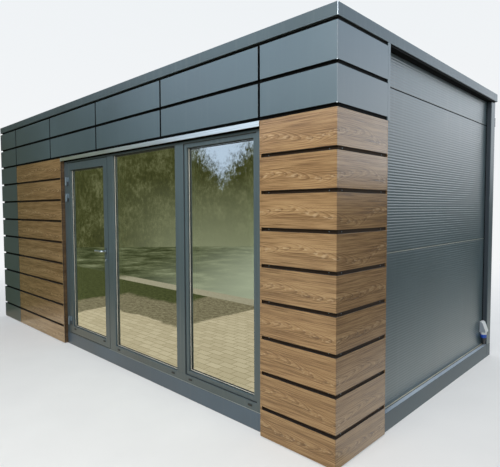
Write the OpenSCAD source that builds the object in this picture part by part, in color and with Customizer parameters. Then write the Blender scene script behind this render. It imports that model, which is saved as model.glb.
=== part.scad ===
// Portable office cabin on a steel base frame. The front has flat cladding in rows,
// a glazed door, a fixed light and an opening light. Sizes are in millimetres.
// X runs along the front, Y runs from the front to the rear and Z points up.
// The origin is on the ground, at the middle of the overall footprint.

/* [Body] */
// Length over the corner cladding
body_l = 6000; // [5200:10:7200]
// Depth from the face of the front cladding to the rear of the steel frame
body_d = 3090; // [2400:10:3600]
// Height to the top of the roof trim
body_h = 2860; // [2700:5:3100]

/* [Steel frame] */
// Height of the base rails
base_h = 138; // [100:1:200]
// Recess of the wall panels behind the face of the frame
wall_recess = 50; // [20:1:60]
// Thickness of the wall panels
wall_t = 70; // [50:1:120]
// Thickness of the floor
floor_t = 130; // [80:1:150]
// Height of the finished floor above the base rails
floor_rise = 12; // [8:1:30]

/* [Roof] */
// Thickness of the roof panel
roof_t = 77; // [50:1:140]
// Thickness of the ceiling panel
ceiling_t = 100; // [60:1:160]
// Thickness of the sheet of the roof trim
trim_t = 3; // [2:0.5:6]
// Width of the roof trim's flange on the roof panel
trim_lap = 70; // [40:5:150]

/* [Wall panels] */
// Height of the lower panel joint above the ground
joint_low = 1305; // [900:5:1600]
// Height of the upper panel joint above the ground
joint_high = 2515; // [1900:5:2600]
// Width of a panel joint
joint_w = 6; // [3:1:12]
// Depth of a panel joint
joint_deep = 8; // [3:1:15]

/* [Cladding] */
// Distance between the rows of cladding
row_pitch = 255; // [180:1:300]
// Height of the gap between two rows
row_gap = 25; // [10:1:40]
// Number of plain rows above the opening
plain_rows = 2; // [1:1:2]
// Length of a corner panel along the front
corner_l = 640; // [400:5:800]
// Number of panels between the corner panels
panel_count = 4; // [2:1:6]
// Width of the upright gap between two panels
seam_w = 20; // [8:1:30]
// Thickness of the front cladding
front_t = 45; // [35:1:60]
// Thickness of the cladding on the sides
side_t = 16; // [14:1:40]
// Depth of the gaps in the front cladding
gap_deep_front = 25; // [10:1:30]
// Depth of the gaps in the side cladding
gap_deep_side = 10; // [6:1:12]
// Length of the cladding that returns along a side
return_l = 635; // [400:5:900]
// Width of the edge strip at the end of the cladding
edge_w = 8; // [4:1:20]
// Extra length of the plain rows' edge strip on a side
plain_edge = 26; // [10:1:60]
// Height of the cladding above the ground
clad_foot = 8; // [4:1:40]
// Gap between the cladding and the roof trim
shadow_gap = 25; // [10:1:40]
// Gap between the left corner panels and the boards beside them
column_gap = 6; // [3:1:20]

/* [Glazed front] */
// Width of the cladding to the right of the opening
right_w = 635; // [400:5:800]
// Width of the door leaf
leaf_w = 947; // [800:1:1100]
// Width of the fixed light
fixed_w = 1062; // [700:1:1200]
// Width of the opening light
sash_w = 852; // [600:1:1000]
// Width of a mullion
mullion_w = 116; // [60:1:140]
// Width of a jamb, the head and the sill
jamb_w = 75; // [50:1:100]
// Height of the head
head_h = 60; // [50:1:100]
// Height of the sill below the windows
sill_h = 60; // [40:1:100]
// Depth of the window frame
frame_deep = 75; // [75:1:100]
// Thickness of the threshold plate
threshold_t = 8; // [4:1:20]
// Height of the drip strip
drip_h = 38; // [20:1:60]
// Overhang of the drip strip in front of the cladding
drip_out = 6; // [0:1:20]
// Thickness of the drip strip
drip_t = 3; // [2:0.5:5]
// Thickness of a glass unit
glass_t = 24; // [16:1:36]
// Depth of the glass behind the face of its frame
glass_set = 27; // [15:1:35]
// Width of the rails of the opening light
sash_rail = 37; // [30:1:60]
// Depth of the opening light's rails
sash_deep = 68; // [62:1:75]
// Recess of the opening light behind the frame
sash_set = 10; // [5:1:15]
// Width of the plate of the opening light's handle
handle_w = 28; // [20:1:36]
// Height of that plate
handle_h = 64; // [40:1:90]
// Thickness of that plate
handle_t = 8; // [4:1:12]
// Distance of the handle's grip from the opening light
handle_out = 45; // [35:1:60]
// Width of the grip
grip_w = 18; // [12:1:24]
// Thickness of the grip
grip_t = 12; // [8:1:16]
// Length of the grip below the neck
grip_l = 115; // [80:1:140]
// Length of the grip above the neck
grip_top = 10; // [10:1:20]

/* [Door] */
// Gap around the door leaf
door_gap = 6; // [5:0.5:8]
// Width of the rails of the door leaf
leaf_rail = 82; // [75:1:120]
// Thickness of the door leaf
leaf_t = 60; // [55:1:62]
// Gap between the leaf and the stop behind it
stop_gap = 5; // [5:0.5:8]
// Overlap of the stop behind the leaf
stop_lap = 12; // [8:1:20]
// Bevel of the lock edge
lock_bevel = 5; // [4.5:0.5:8]
// Distance of the hinge axis in front of the leaf
hinge_out = 20; // [16:1:24]
// Radius of a hinge barrel
barrel_r = 9; // [7:0.5:11]
// Height of a hinge
hinge_h = 95; // [60:1:140]
// Width of a hinge plate
hinge_w = 38; // [25:1:60]
// Thickness of a hinge plate
hinge_t = 8; // [4:1:10]
// Distance of the top hinge from the top of the leaf
hinge_top = 212; // [100:1:300]
// Distance between the two upper hinges
hinge_pair = 193; // [150:1:300]
// Distance of the lowest hinge from the bottom of the leaf
hinge_low = 144; // [100:1:300]
// Height of the lever above the threshold
lever_z = 1044; // [800:1:1150]
// Distance of the lever's spindle from the lock edge
backset = 45; // [38:1:50]
// Length of a lever
lever_l = 130; // [90:1:160]
// Distance of the lever from the face of the leaf
lever_out = 60; // [45:1:75]
// Height of a lever
lever_h = 20; // [14:1:24]
// Thickness of a lever
lever_t = 12; // [8:1:16]
// Radius of a lever's neck
neck_r = 10; // [8:0.5:12]
// Radius of the spindle
spindle_r = 5; // [4:0.5:6]
// Distance between the spindle and the lock cylinder
lock_drop = 92; // [70:1:110]
// Width of a rosette
rosette_w = 32; // [28:1:40]
// Height of a rosette
rosette_h = 64; // [50:1:70]
// Thickness of a rosette
rosette_t = 8; // [4:1:12]
// Height of the lock's plate
lock_h = 33; // [26:1:40]
// Radius of the lock cylinder
cylinder_r = 8.5; // [7:0.5:10]
// Distance that the lock cylinder stands out from its plate
cylinder_out = 6; // [3:1:10]

/* [Power inlet] */
// Height of the inlet's hood above the ground
inlet_z = 290; // [250:5:600]
// Distance between the inlet and the rear post
inlet_gap = 8; // [4:1:300]
// Width of the hood
hood_w = 90; // [80:1:120]
// Distance that the hood stands out from the wall
hood_out = 66; // [66:1:110]
// Height of the hood at the wall
hood_h = 115; // [90:1:160]
// Height of the hood's upright front
hood_rim = 18; // [15:1:45]
// Depth of the hood's flat top
hood_top = 22; // [10:1:32]
// Bevel between the hood's top and its slope
hood_bevel = 14; // [5:1:20]
// Distance between the collar and the front of the hood
hood_lip = 2; // [1:0.5:3]
// Radius of the socket
socket_r = 28; // [24:1:28]
// Height of the white collar
collar_h = 26; // [10:1:40]
// Width of the collar around the socket
collar_lip = 3; // [2:0.5:5]
// Height of the coloured ring
ring_h = 36; // [15:1:40]
// Radius of the closing cap
cap_r = 20; // [12:1:24]
// Radius of the closing cap's tip
cap_tip_r = 14; // [8:1:20]
// Height of the closing cap
cap_h = 72; // [50:1:90]
// Height of the closing cap's straight part
cap_straight = 29; // [10:1:35]

/* [Rear outlet box] */
// Distance between the box and the roof panel
box_drop = 165; // [20:5:400]
// Distance between the box and the outer side of the post
box_edge = 10; // [0:1:20]
// Height of the box
box_h = 95; // [60:1:120]
// Width of the box
box_w = 60; // [40:1:100]
// Distance that the box stands out from the rear post
box_out = 50; // [30:1:80]

/* [Hidden] */
$fn = 48;
// Running clearance of a pin or shaft in its bore
run = 0.3;
// Overlap that makes a cut clean
cut = 1;
// Clearance of a hinge plate at the axis, or at the edge of the leaf
plate_gap = 2;
// Clearance of the leaf's hinge arm in front of the leaf
arm_gap = 5;
// Depth of the pin's end below the top of its barrel
pin_end = 4;

// Places along Y, from the front to the rear
front_reach = max(lever_out + lever_t / 2 - front_t, drip_out);
rear_reach = max(box_out, side_t);
footprint_d = front_reach + body_d + rear_reach;
y_face = -footprint_d / 2 + front_reach;
y_frame = y_face + front_t;
y_rear = y_face + body_d;
y_leaf = y_frame;
stop_y = leaf_t + stop_gap;

// Steel members are as deep as the recess and the wall panel together
post_w = wall_recess + wall_t;
x_frame = body_l / 2 - side_t;
x_inner = x_frame - post_w;
y_inner_front = y_frame + post_w;
y_inner_rear = y_rear - post_w;
x_wall = x_frame - wall_recess;
y_wall_rear = y_rear - wall_recess;

// Heights
roof_z = body_h - trim_t - roof_t;
row_h = row_pitch - row_gap;
z_rows = roof_z - shadow_gap;
row_count = round((z_rows - clad_foot + row_gap) / row_pitch);
open_top = z_rows - plain_rows * row_pitch;
sill_z = base_h + threshold_t;
head_z = open_top - head_h;
leaf_z = sill_z + door_gap;
leaf_top = head_z - door_gap;
glazing_z = sill_z + sill_h;

// Places along X, from the opening's left edge to its right edge
x_open_r = body_l / 2 - right_w;
x_sash_r = x_open_r - jamb_w;
x_sash = x_sash_r - sash_w;
x_fixed_r = x_sash - mullion_w;
x_fixed = x_fixed_r - fixed_w;
x_mullion = x_fixed - mullion_w;
x_leaf_r = x_mullion - door_gap;
x_leaf = x_leaf_r - leaf_w;
x_jamb = x_leaf - door_gap;
x_open_l = x_jamb - jamb_w;

// Door ironmongery
x_hinge = x_leaf - door_gap / 2;
y_hinge = y_leaf - hinge_out;
hinge_zs = [leaf_z + hinge_low, leaf_top - hinge_top - hinge_pair, leaf_top - hinge_top];
x_lever = x_leaf_r - backset;
z_lever = sill_z + lever_z;
z_lock = z_lever - lock_drop;

// Power inlet
y_inlet = y_inner_rear - inlet_gap - hood_w;
x_socket = x_wall + hood_out - hood_lip - collar_lip - socket_r;
box_top = roof_z - box_drop;

// Colours
grey = [0.25, 0.30, 0.33];
dark_grey = [0.19, 0.23, 0.26];
timber = [0.50, 0.34, 0.22];
glass_blue = [0.55, 0.65, 0.66, 0.5];

// A box from its low corner to its high corner
module span(low, high) {
  translate(low) cube(high - low);
}

// A box between two places along X and Z, at a depth from y_frame
module member(x0, x1, z0, z1, y0, y1) {
  span([x0, y_frame + y0, z0], [x1, y_frame + y1, z1]);
}

// ---------- steel frame, floor and walls ----------

module base_rail_across(y0) {
  color(dark_grey) span([-x_frame, y0, 0], [x_frame, y0 + post_w, base_h]);
}

module base_rail_along(x0) {
  color(dark_grey) span([x0, y_inner_front, 0], [x0 + post_w, y_inner_rear, base_h]);
}

module corner_post(x0, y0) {
  color(grey) span([x0, y0, base_h], [x0 + post_w, y0 + post_w, roof_z]);
}

module floor() {
  color("gainsboro")
    span([-x_inner, y_inner_front, base_h + floor_rise - floor_t],
         [x_inner, y_inner_rear, base_h + floor_rise]);
}

// Grooves between the panels of a wall, on the face at y = 0
module panel_joints(l) {
  for (z = [joint_low, joint_high])
    span([-cut, -cut, z - joint_w / 2], [l + cut, joint_deep, z + joint_w / 2]);
}

// A wall of stacked panels, l long, with its outer face at y = 0
module panel_wall(l) {
  color(grey) difference() {
    span([0, 0, base_h], [l, wall_t, roof_z]);
    panel_joints(l);
  }
}

module right_wall() {
  translate([x_wall, y_inner_front, 0]) rotate([0, 0, 90]) panel_wall(y_inner_rear - y_inner_front);
}

module left_wall() {
  translate([-x_wall, y_inner_rear, 0]) rotate([0, 0, -90]) panel_wall(y_inner_rear - y_inner_front);
}

module rear_wall() {
  translate([x_inner, y_wall_rear, 0]) rotate([0, 0, 180]) panel_wall(2 * x_inner);
}

module front_wall(x0, x1, z0) {
  color("dimgray") span([x0, y_frame, z0], [x1, y_inner_front, roof_z]);
}

// ---------- roof ----------

module roof_panel() {
  color(dark_grey) span([-x_frame, y_frame, roof_z], [x_frame, y_rear, roof_z + roof_t]);
}

module ceiling() {
  color("whitesmoke")
    span([-x_inner, y_inner_front, roof_z - ceiling_t], [x_inner, y_inner_rear, roof_z]);
}

// The whole ring of roof trim, flush with the cladding on every side
module trim_ring() {
  low = [-body_l / 2, y_face, roof_z];
  high = [body_l / 2, y_rear + side_t, body_h];
  difference() {
    span(low, high);
    span(low + [trim_t, trim_t, -cut], high - [trim_t, trim_t, trim_t]);
    span([-x_frame + trim_lap, y_frame + trim_lap, roof_z],
         [x_frame - trim_lap, y_rear - trim_lap, body_h + cut]);
  }
}

// One length of roof trim, mitred at both ends
module roof_trim(side) {
  l = body_l / 2;
  y0 = y_face;
  y1 = y_rear + side_t;
  b = front_t + trim_lap + cut;
  front = [[-l, y0], [l, y0], [l - b, y0 + b], [-l + b, y0 + b]];
  rear = [[-l, y1], [-l + b, y1 - b], [l - b, y1 - b], [l, y1]];
  left = [[-l, y0], [-l + b, y0 + b], [-l + b, y1 - b], [-l, y1]];
  right = [[l, y0], [l, y1], [l - b, y1 - b], [l - b, y0 + b]];
  color(grey) intersection() {
    trim_ring();
    translate([0, 0, roof_z - cut]) linear_extrude(body_h - roof_z + 2 * cut)
      polygon(side == "front" ? front : side == "rear" ? rear : side == "left" ? left : right);
  }
}

// ---------- cladding ----------

function row_top(k) = z_rows - k * row_pitch;

// Plan of the cladding: the front and its two returns, with end flanges to the walls
module clad_plan(end) {
  difference() {
    translate([-body_l / 2, y_face]) square([body_l, end]);
    translate([-x_frame, y_frame]) square([2 * x_frame, end - front_t - edge_w]);
    translate([-x_wall, y_frame]) square([2 * x_wall, end]);
  }
}

// Plan of a gap between rows, which stops at the edge strips
module gap_plan(x0, x1) {
  difference() {
    translate([x0, y_face - cut]) square([x1 - x0, return_l - edge_w + cut]);
    translate([-body_l / 2 + gap_deep_side, y_face + gap_deep_front])
      square([body_l - 2 * gap_deep_side, return_l]);
  }
}

// Rows first to last of the cladding between two places along the front
module clad_rows(x0, x1, first, last, z_low, z_high, end, gap_x0, gap_x1) {
  difference() {
    intersection() {
      translate([0, 0, z_low]) linear_extrude(z_high - z_low) clad_plan(end);
      span([x0, y_face, z_low], [x1, y_face + end, z_high]);
    }
    for (k = [first:last])
      translate([0, 0, row_top(k)])
        linear_extrude(row_gap) gap_plan(gap_x0, gap_x1);
    // The end flanges stand on the base rails
    for (x = [-x_frame, x_wall])
      span([x, y_frame, z_low - cut], [x + wall_recess, y_face + end + cut, base_h]);
  }
}

// Upright gaps between the panels of the plain rows
module upright_seams() {
  run_l = body_l - 2 * corner_l;
  for (i = [0:panel_count])
    translate([-run_l / 2 + i * run_l / panel_count - seam_w / 2, y_face - cut, open_top - cut])
      cube([seam_w, gap_deep_front + cut, z_rows - open_top + 2 * cut]);
}

module cladding_top() {
  color(grey) difference() {
    clad_rows(-body_l / 2, body_l / 2, 0, plain_rows - 1, open_top, roof_z,
              return_l + plain_edge, -body_l / 2 - cut, body_l / 2 + cut);
    upright_seams();
    // The gap below the last plain row
    translate([0, 0, open_top - cut])
      linear_extrude(row_gap + cut) gap_plan(-body_l / 2 - cut, body_l / 2 + cut);
  }
}

module cladding_left_corner() {
  x1 = -body_l / 2 + corner_l - column_gap;
  color(grey)
    clad_rows(-body_l / 2, x1, plain_rows + 1, row_count - 1, clad_foot, open_top,
              return_l, -body_l / 2 - cut, x1 + cut);
}

module cladding_left_boards() {
  x0 = -body_l / 2 + corner_l;
  color(timber)
    clad_rows(x0, x_open_l, plain_rows + 1, row_count - 1, clad_foot, open_top,
              return_l, x0 - cut, x_open_l - edge_w);
}

module cladding_right_boards() {
  color(timber)
    clad_rows(x_open_r, body_l / 2, plain_rows + 1, row_count - 1, clad_foot, open_top,
              return_l, x_open_r + edge_w, body_l / 2 + cut);
}

// ---------- glazed front ----------

module drip_strip() {
  color("silver") {
    span([x_open_l, y_face - drip_out, open_top - drip_t], [x_open_r, y_frame, open_top]);
    span([x_open_l, y_face - drip_out, open_top - drip_h],
         [x_open_r, y_face - drip_out + drip_t, open_top]);
  }
}

module threshold() {
  color("silver") {
    member(x_open_l, x_open_r, base_h, sill_z, 0, post_w);
    member(x_jamb, x_mullion, base_h, leaf_z + stop_lap, stop_y, frame_deep);
  }
}

module frame_head() {
  color(grey) {
    member(x_open_l, x_open_r, head_z, open_top, 0, frame_deep);
    member(x_jamb, x_mullion, leaf_top - stop_lap, open_top, stop_y, frame_deep);
  }
}

module frame_sill() {
  color(grey) member(x_fixed, x_sash_r, sill_z, glazing_z, 0, frame_deep);
}

// An upright of the frame from the threshold or the sill to the head
module upright(x0, w, z0) {
  member(x0, x0 + w, z0, head_z, 0, frame_deep);
}

// A door stop on the side of an upright, between the stops of the threshold and the head
module door_stop(x0, x1) {
  member(x0, x1, leaf_z + stop_lap, leaf_top - stop_lap, stop_y, frame_deep);
}

module frame_jamb_left() {
  color(grey) {
    upright(x_open_l, jamb_w, sill_z);
    door_stop(x_jamb - cut, x_leaf + stop_lap);
  }
}

module frame_jamb_right() {
  color(grey) upright(x_sash_r, jamb_w, sill_z);
}

module mullion_door() {
  color(grey) {
    upright(x_mullion, mullion_w, sill_z);
    door_stop(x_leaf_r - lock_bevel - stop_lap, x_mullion + cut);
  }
}

module mullion_window() {
  color(grey) upright(x_fixed_r, mullion_w, glazing_z);
}

module fixed_glass() {
  color(glass_blue) member(x_fixed, x_fixed_r, glazing_z, head_z, glass_set, glass_set + glass_t);
}

module sash_frame() {
  r = sash_rail;
  color(grey) difference() {
    member(x_sash, x_sash_r, glazing_z, head_z, sash_set, sash_set + sash_deep);
    member(x_sash + r, x_sash_r - r, glazing_z + r, head_z - r, 0, sash_set + sash_deep + cut);
  }
}

module sash_glass() {
  r = sash_rail;
  y0 = sash_set + glass_set;
  color(glass_blue)
    member(x_sash + r, x_sash_r - r, glazing_z + r, head_z - r, y0, y0 + glass_t);
}

// The inner handle of the opening light, with its grip hanging down
module sash_handle() {
  x = x_sash + sash_rail / 2;
  y0 = y_frame + sash_set + sash_deep;
  color("silver") {
    translate([x - handle_w / 2, y0, z_lever - handle_h / 2]) cube([handle_w, handle_t, handle_h]);
    translate([x, y0, z_lever]) rotate([-90, 0, 0]) cylinder(r = neck_r, h = handle_out);
    translate([x - grip_w / 2, y0 + handle_out - grip_t / 2, z_lever - grip_l])
      cube([grip_w, grip_t, grip_l + grip_top]);
  }
}

// ---------- door ----------

module door_leaf() {
  r = leaf_rail;
  color(grey) difference() {
    translate([0, 0, leaf_z]) linear_extrude(leaf_top - leaf_z)
      polygon([[x_leaf, y_leaf], [x_leaf_r, y_leaf],
               [x_leaf_r - lock_bevel, y_leaf + leaf_t], [x_leaf, y_leaf + leaf_t]]);
    span([x_leaf + r, y_leaf - cut, leaf_z + r], [x_leaf_r - r, y_leaf + leaf_t + cut, leaf_top - r]);
    translate([x_lever, y_leaf - cut, z_lever]) rotate([-90, 0, 0])
      cylinder(r = spindle_r + run, h = leaf_t + 2 * cut);
  }
}

module door_glass() {
  r = leaf_rail;
  color(glass_blue)
    span([x_leaf + r, y_leaf + glass_set, leaf_z + r],
         [x_leaf_r - r, y_leaf + glass_set + glass_t, leaf_top - r]);
}

// Rosette and lock escutcheon on one face; dir is -1 outside and 1 inside
module lock_face(y, dir) {
  t = rosette_t;
  y0 = dir < 0 ? y - t : y;
  difference() {
    translate([x_lever - rosette_w / 2, y0, z_lever - rosette_h / 2])
      cube([rosette_w, t, rosette_h]);
    translate([x_lever, y0 - cut, z_lever]) rotate([-90, 0, 0])
      cylinder(r = neck_r + run, h = t + 2 * cut);
  }
  translate([x_lever - rosette_w / 2, y0, z_lock - lock_h / 2]) cube([rosette_w, t, lock_h]);
  translate([x_lever, dir < 0 ? y0 - cylinder_out : y0, z_lock]) rotate([-90, 0, 0])
    cylinder(r = cylinder_r, h = t + cylinder_out);
}

module door_lock_plates() {
  color("silver") {
    lock_face(y_leaf, -1);
    lock_face(y_leaf + leaf_t, 1);
  }
}

// One lever on its neck; the lever points towards the hinges
module lever(y, dir) {
  y_end = y + dir * lever_out;
  translate([x_lever, min(y, y_end), z_lever]) rotate([-90, 0, 0]) cylinder(r = neck_r, h = lever_out);
  translate([x_lever - lever_l, y_end - lever_t / 2, z_lever - lever_h / 2])
    cube([lever_l, lever_t, lever_h]);
  for (x = [x_lever - lever_l, x_lever])
    translate([x, y_end - lever_t / 2, z_lever]) rotate([-90, 0, 0])
      cylinder(d = lever_h, h = lever_t);
}

module door_lever() {
  color("silver") {
    lever(y_leaf - run, -1);
    lever(y_leaf + leaf_t + run, 1);
    translate([x_lever, y_leaf - cut, z_lever]) rotate([-90, 0, 0])
      cylinder(r = spindle_r, h = leaf_t + 2 * cut);
  }
}

// Lower half of a hinge, on the jamb, with the pin
module hinges_frame_side() {
  half = hinge_h / 2;
  color(dark_grey) for (z = hinge_zs) {
    translate([x_hinge, y_hinge, z - half]) cylinder(r = barrel_r, h = half - run);
    translate([x_hinge, y_hinge, z - half]) cylinder(r = barrel_r / 2, h = hinge_h - pin_end);
    span([x_hinge - hinge_w, y_frame - hinge_t, z - half],
         [x_hinge - plate_gap, y_frame, z + half]);
    span([x_hinge - barrel_r, y_hinge, z - half], [x_hinge - plate_gap, y_frame, z - run]);
  }
}

// Upper half of a hinge, on the leaf, which turns on the pin
module hinges_leaf_side() {
  half = hinge_h / 2;
  color(dark_grey) for (z = hinge_zs) difference() {
    union() {
      translate([x_hinge, y_hinge, z]) cylinder(r = barrel_r, h = half);
      span([x_leaf + plate_gap, y_leaf - hinge_t, z - half],
           [x_leaf + hinge_w, y_leaf, z + half]);
      span([x_hinge, y_hinge, z], [x_hinge + barrel_r, y_leaf - arm_gap, z + half]);
    }
    translate([x_hinge, y_hinge, z - cut]) cylinder(r = barrel_r / 2 + run, h = half);
  }
}

// ---------- power inlet and rear box ----------

module power_inlet_hood() {
  color("white") {
    translate([x_wall, y_inlet + hood_w, inlet_z]) rotate([90, 0, 0])
      linear_extrude(hood_w)
        polygon([[0, 0], [hood_out, 0], [hood_out, hood_rim],
                 [hood_top + hood_bevel, hood_h - hood_bevel], [hood_top, hood_h], [0, hood_h]]);
    translate([x_socket, y_inlet + hood_w / 2, inlet_z - collar_h])
      cylinder(r = socket_r + collar_lip, h = collar_h + cut);
  }
}

module power_inlet_ring() {
  color("royalblue") translate([x_socket, y_inlet + hood_w / 2, inlet_z - collar_h - ring_h])
    cylinder(r = socket_r, h = ring_h);
}

module power_inlet_cap() {
  z0 = inlet_z - collar_h - ring_h;
  color("black") translate([x_socket, y_inlet + hood_w / 2, z0 - cap_h]) {
    cylinder(r1 = cap_tip_r, r2 = cap_r, h = cap_h - cap_straight);
    translate([0, 0, cap_h - cap_straight]) cylinder(r = cap_r, h = cap_straight);
  }
}

module rear_outlet_box() {
  color("black")
    span([x_frame - box_edge - box_w, y_rear, box_top - box_h],
         [x_frame - box_edge, y_rear + box_out, box_top]);
}

base_rail_across(y_frame);  // base_rail_front
base_rail_across(y_inner_rear);  // base_rail_rear
base_rail_along(-x_frame);  // base_rail_left
base_rail_along(x_inner);  // base_rail_right
floor();
corner_post(-x_frame, y_frame);  // post_front_left
corner_post(x_inner, y_frame);  // post_front_right
corner_post(-x_frame, y_inner_rear);  // post_rear_left
corner_post(x_inner, y_inner_rear);  // post_rear_right
left_wall();
right_wall();
rear_wall();
front_wall(-x_inner, x_open_l, base_h);  // front_wall_left
front_wall(x_open_r, x_inner, base_h);  // front_wall_right
front_wall(x_open_l, x_open_r, open_top);  // front_wall_header
roof_panel();
ceiling();
roof_trim("front");  // roof_trim_front
roof_trim("rear");  // roof_trim_rear
roof_trim("left");  // roof_trim_left
roof_trim("right");  // roof_trim_right
cladding_top();
cladding_left_corner();
cladding_left_boards();
cladding_right_boards();
drip_strip();
threshold();
frame_head();
frame_sill();
frame_jamb_left();
frame_jamb_right();
mullion_door();
mullion_window();
fixed_glass();
sash_frame();
sash_glass();
sash_handle();
door_leaf();
door_glass();
door_lock_plates();
door_lever();
hinges_frame_side();
hinges_leaf_side();
power_inlet_hood();
power_inlet_ring();
power_inlet_cap();
rear_outlet_box();
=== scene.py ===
"""Looks of the portable office cabin: its finishes, and the pieces too fine for the solids.

Everything is in metres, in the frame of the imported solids: X runs along the front, Y from the
front to the rear and Z up, with the origin on the ground under the middle of the footprint.
"""

import math

import bpy
from mathutils import Matrix, Vector


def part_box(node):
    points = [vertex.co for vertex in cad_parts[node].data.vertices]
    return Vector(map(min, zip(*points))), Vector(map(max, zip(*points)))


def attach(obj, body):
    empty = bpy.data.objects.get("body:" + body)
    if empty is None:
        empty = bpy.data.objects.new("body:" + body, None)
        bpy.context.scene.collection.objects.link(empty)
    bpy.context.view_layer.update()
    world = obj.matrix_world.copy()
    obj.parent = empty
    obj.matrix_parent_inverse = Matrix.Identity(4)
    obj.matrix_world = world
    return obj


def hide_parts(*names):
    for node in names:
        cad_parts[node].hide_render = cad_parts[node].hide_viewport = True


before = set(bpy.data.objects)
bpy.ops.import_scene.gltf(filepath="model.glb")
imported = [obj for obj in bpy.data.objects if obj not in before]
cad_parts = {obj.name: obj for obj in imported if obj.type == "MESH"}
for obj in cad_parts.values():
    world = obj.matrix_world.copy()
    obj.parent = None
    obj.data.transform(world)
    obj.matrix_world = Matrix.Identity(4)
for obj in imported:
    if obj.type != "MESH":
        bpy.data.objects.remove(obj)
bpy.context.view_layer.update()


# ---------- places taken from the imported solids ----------

clad_low, clad_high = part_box("cladding_top")
head_low, head_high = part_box("frame_head")

FACE_Y = clad_low.y  # face of the front cladding
CORNER_X = clad_high.x  # outer face of the cladding on the sides
OPEN_TOP = clad_low.z  # top of the glazed opening
ROOF_Z = clad_high.z  # underside of the roof trim
FRAME_Y = head_low.y  # face of the window frame
OPEN_LEFT, OPEN_RIGHT = head_low.x, head_high.x
STEEL_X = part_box("post_front_right")[1].x  # outer face of the steel frame on the sides
WALL_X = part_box("right_wall")[1].x  # outer face of the side walls
BASE_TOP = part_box("base_rail_front")[1].z

ROW_PITCH = 0.255        # distance between two rows of cladding
ROW_GAP = 0.025          # gap between two rows
PLAIN_ROWS = 2           # rows of plain panels above the opening
BOARD_ROWS = 9           # rows of boards beside the opening
FIRST_TOP = OPEN_TOP + PLAIN_ROWS * ROW_PITCH
CLAD_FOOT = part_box("cladding_right_boards")[0].z
FRONT_DEPTH = 0.025      # how far a panel stands in front of its backing, on the front
SIDE_DEPTH = 0.010       # the same on the sides
CORNER_L = 0.640         # length of a corner panel along the front
COLUMN_GAP = 0.006       # gap between the left corner panels and the boards
EDGE_W = 0.008           # width of the strip that ends the rows
REVEAL_W = 0.016         # the same beside the opening
RETURN_L = 0.635         # length of the cladding along a side
RETURN_Y = FACE_Y + RETURN_L
PLAIN_END = 0.026        # how far the plain rows reach past the boards on a side
SEAM_W = 0.020           # width of an upright gap between two plain panels
PANEL_COUNT = 4          # plain panels between the corner panels
LOW_JOINT, HIGH_JOINT = 1.305, 2.515        # heights of the joints between the wall panels
JOINT_W = 0.009
RIB_PITCH = 0.021        # distance between two ribs of a wall sheet
RIB_OUT = 0.0011         # height of a rib
SHEET_T = 0.0008         # thickness of a wall sheet
HINGE_H = 0.095          # height of a hinge
HINGE_PAIR = 0.193       # distance between the two upper hinges
HINGE_T = 0.008          # thickness of a hinge plate
ROSE_T = 0.008           # thickness of the rose and the lock plate
LOCK_H = 0.033           # height of the lock plate

PANEL_EDGE = 0.0018      # radius of the edges of a folded panel
BOARD_EDGE = 0.0012      # radius of the edges of boards, trims and mouldings
FINE_EDGE = 0.001        # radius of the edges of small parts
FRAME_EDGE = 0.0015      # radius of the edges of window and door frames
STEEL_EDGE = 0.004       # radius of the edges of rolled steel
SIDES = (-1, 1)          # left and right


# ---------- camera, floor and light ----------

def link(thing):
    """Puts a new thing in the scene."""
    bpy.context.scene.collection.objects.link(thing)
    return thing


def place_camera():
    """A wide lens at eye height, in front of the right corner."""
    lens = bpy.data.cameras.new("camera")
    lens.sensor_width = 36.0
    lens.lens = 32.43
    lens.shift_x, lens.shift_y = -0.0031, -0.0055
    camera = link(bpy.data.objects.new("camera", lens))
    camera.matrix_world = Matrix.Translation((4.519, -3.869, 1.638))
    for degrees, axis in ((44.045, "Z"), (87.163, "X"), (-0.217, "Z")):
        camera.matrix_world = camera.matrix_world @ Matrix.Rotation(math.radians(degrees), 4, axis)
    bpy.context.scene.camera = camera


def soft_light(name, place, aim, size, power, colour):
    """A large soft box that faces a point."""
    lamp = bpy.data.lights.new(name, "AREA")
    lamp.shape = "RECTANGLE"
    lamp.size, lamp.size_y = size
    lamp.energy = power
    lamp.color = colour
    box = link(bpy.data.objects.new(name, lamp))
    box.location = place
    box.rotation_euler = (Vector(aim) - Vector(place)).to_track_quat("-Z", "Y").to_euler()
    return box


def studio_light():
    """An even pale sky, a warm box in front of the right end, whose light falls off to the left,
    a cool one high on the right, and one behind that lights the rear."""
    world = bpy.data.worlds.new("soft_sky")
    bpy.context.scene.world = world
    world.use_nodes = True
    sky = world.node_tree.nodes["Background"]
    sky.inputs["Color"].default_value = (0.93, 0.965, 1.0, 1.0)
    sky.inputs["Strength"].default_value = 0.55
    soft_light("front_box", (3.2, -5.6, 4.2), (2.2, -1.5, 1.2), (2.6, 2.2), 205.0,
               (1.0, 0.97, 0.92))
    soft_light("side_box", (12.0, -2.0, 8.0), (3.0, 0.0, 1.5), (6.0, 5.0), 60.0,
               (0.95, 0.98, 1.0))
    rear = soft_light("rear_box", (-6.0, 9.0, 5.0), (0.0, 1.5, 1.2), (9.0, 5.0), 500.0,
                      (0.97, 0.99, 1.0))
    rear.visible_glossy = False
    bpy.context.scene.view_settings.view_transform = "Standard"


# ---------- materials ----------

def linear(code):
    """An sRGB hex colour as linear red, green, blue and alpha."""
    shares = [int(code[i:i + 2], 16) / 255 for i in (1, 3, 5)]
    return [s / 12.92 if s <= 0.04045 else ((s + 0.055) / 1.055) ** 2.4 for s in shares] + [1.0]


# The setting that is a node's mode, for the kinds that are given one
MODES = {"Math": "operation", "VectorMath": "operation", "Mix": "data_type",
         "MapRange": "interpolation_type"}


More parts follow.
